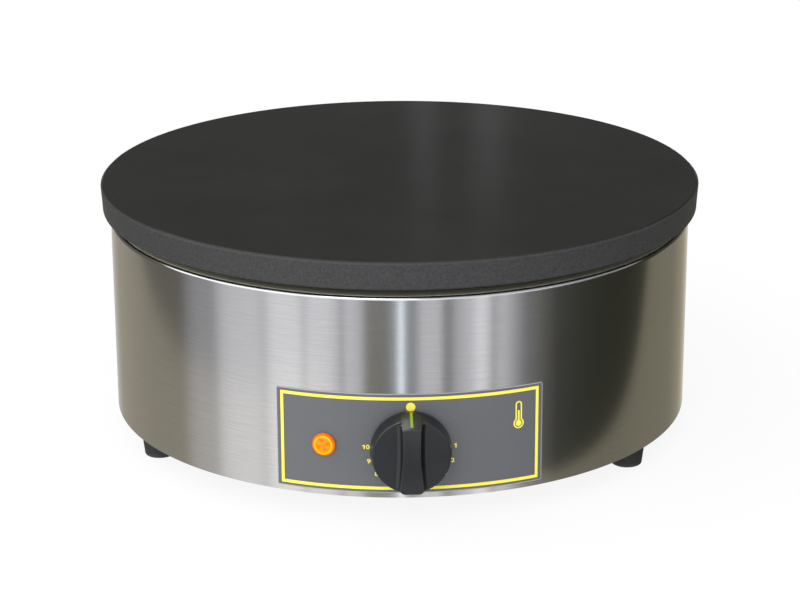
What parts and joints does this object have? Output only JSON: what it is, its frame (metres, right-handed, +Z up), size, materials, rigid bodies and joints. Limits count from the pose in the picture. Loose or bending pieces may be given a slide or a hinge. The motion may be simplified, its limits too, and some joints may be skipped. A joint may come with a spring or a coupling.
{
  "type": "electric crepe maker",
  "caption": "Round countertop electric crepe maker: a cast-iron griddle plate on a brushed steel band, with a thermostat knob, an indicator lamp and rubber feet.",
  "frame": {"origin": "on the surface it stands on, on the axis of the round body", "axes": "+Z up, the control panel and knob face -Y, the cable inlet faces +Y, +X to the right seen from the front"},
  "size_m": [0.3999, 0.4354, 0.1705],
  "materials": {
    "cast_iron": "machined top, seasoned dark, fine turning marks",
    "brushed_steel": "brushed round the body, bright",
    "zinc_steel": "zinc-coated sheet, dull",
    "tray_steel": "aluminised sheet, browned by heat",
    "foot_rubber": "matt black moulded rubber",
    "fastener_steel": "turned and plated steel",
    "element_sheath": "heat-darkened alloy tube",
    "ceramic": "unglazed electrical ceramic",
    "insulation_wool": "pressed mineral fibre",
    "copper": "drawn copper, slightly dull",
    "brass": "stamped and turned brass",
    "label_film": "dark grey printed film, fine satin",
    "yellow_ink": "yellow printed ink",
    "knob_plastic": "black moulded plastic, satin",
    "pointer_green": "yellow-green filled line",
    "lens_orange": "orange moulded lens, clear gloss",
    "black_plastic": "black moulded nylon",
    "seal_rubber": "black soft rubber",
    "wire_brown": "brown silicone sleeve",
    "wire_black": "black silicone sleeve",
    "wire_blue": "blue silicone sleeve",
    "wire_green": "green silicone sleeve",
    "wire_white": "white heat-resistant sleeve"
  },
  "bodies": {
    "chassis": {"base_plate": "zinc_steel", "base_screws": "fastener_steel", "block_fixings": "fastener_steel", "body_shell": "brushed_steel", "bulb_saddle": "fastener_steel", "capillary_tube": "copper", "clamp_bars": "zinc_steel", "clamp_screws": "fastener_steel", "control_label": "label_film", "earth_lug": "brass", "earth_nuts": "brass", "earth_stud": "fastener_steel", "element_bushes": "ceramic", "element_pins": "fastener_steel", "foot_left": "foot_rubber", "foot_nuts": "fastener_steel", "foot_rear": "foot_rubber", "foot_right": "foot_rubber", "foot_screws": "fastener_steel", "gland_body": "black_plastic", "gland_locknut": "black_plastic", "gland_nut": "black_plastic", "gland_seal": "seal_rubber", "griddle_plate": "cast_iron", "heat_tray": "tray_steel", "heating_element": "element_sheath", "indicator_body": "black_plastic", "indicator_lens": "lens_orange", "indicator_nut": "black_plastic", "insulation_disc": "insulation_wool", "label_border": "yellow_ink", "lamp_wires": "wire_white", "plate_nuts": "fastener_steel", "plate_posts": "fastener_steel", "plate_studs": "fastener_steel", "plate_washers": "fastener_steel", "push_on_sleeves": "brass", "sensor_bulb": "copper", "terminal_block": "ceramic", "terminal_screws": "brass", "thermometer_sign": "yellow_ink", "thermostat_bracket": "zinc_steel", "thermostat_cover": "ceramic", "thermostat_diaphragm": "fastener_steel", "thermostat_housing": "zinc_steel", "thermostat_screws": "fastener_steel", "thermostat_tabs": "brass", "tray_screws": "fastener_steel", "wire_earth": "wire_green", "wire_live": "wire_brown", "wire_neutral": "wire_blue", "wire_switched": "wire_black"},
    "knob_group": {"knob": "knob_plastic", "knob_pointer": "pointer_green", "knob_spring": "fastener_steel", "thermostat_shaft": "fastener_steel", "thermostat_cam": "knob_plastic"}
  },
  "joints": [
    {"name": "knob_turn", "type": "hinge", "parent": "chassis", "child": "knob_group", "pos_m": [0, -0.2, 0.0491], "axis": [0, 1, 0], "range_deg": [0, 270]}
  ]
}
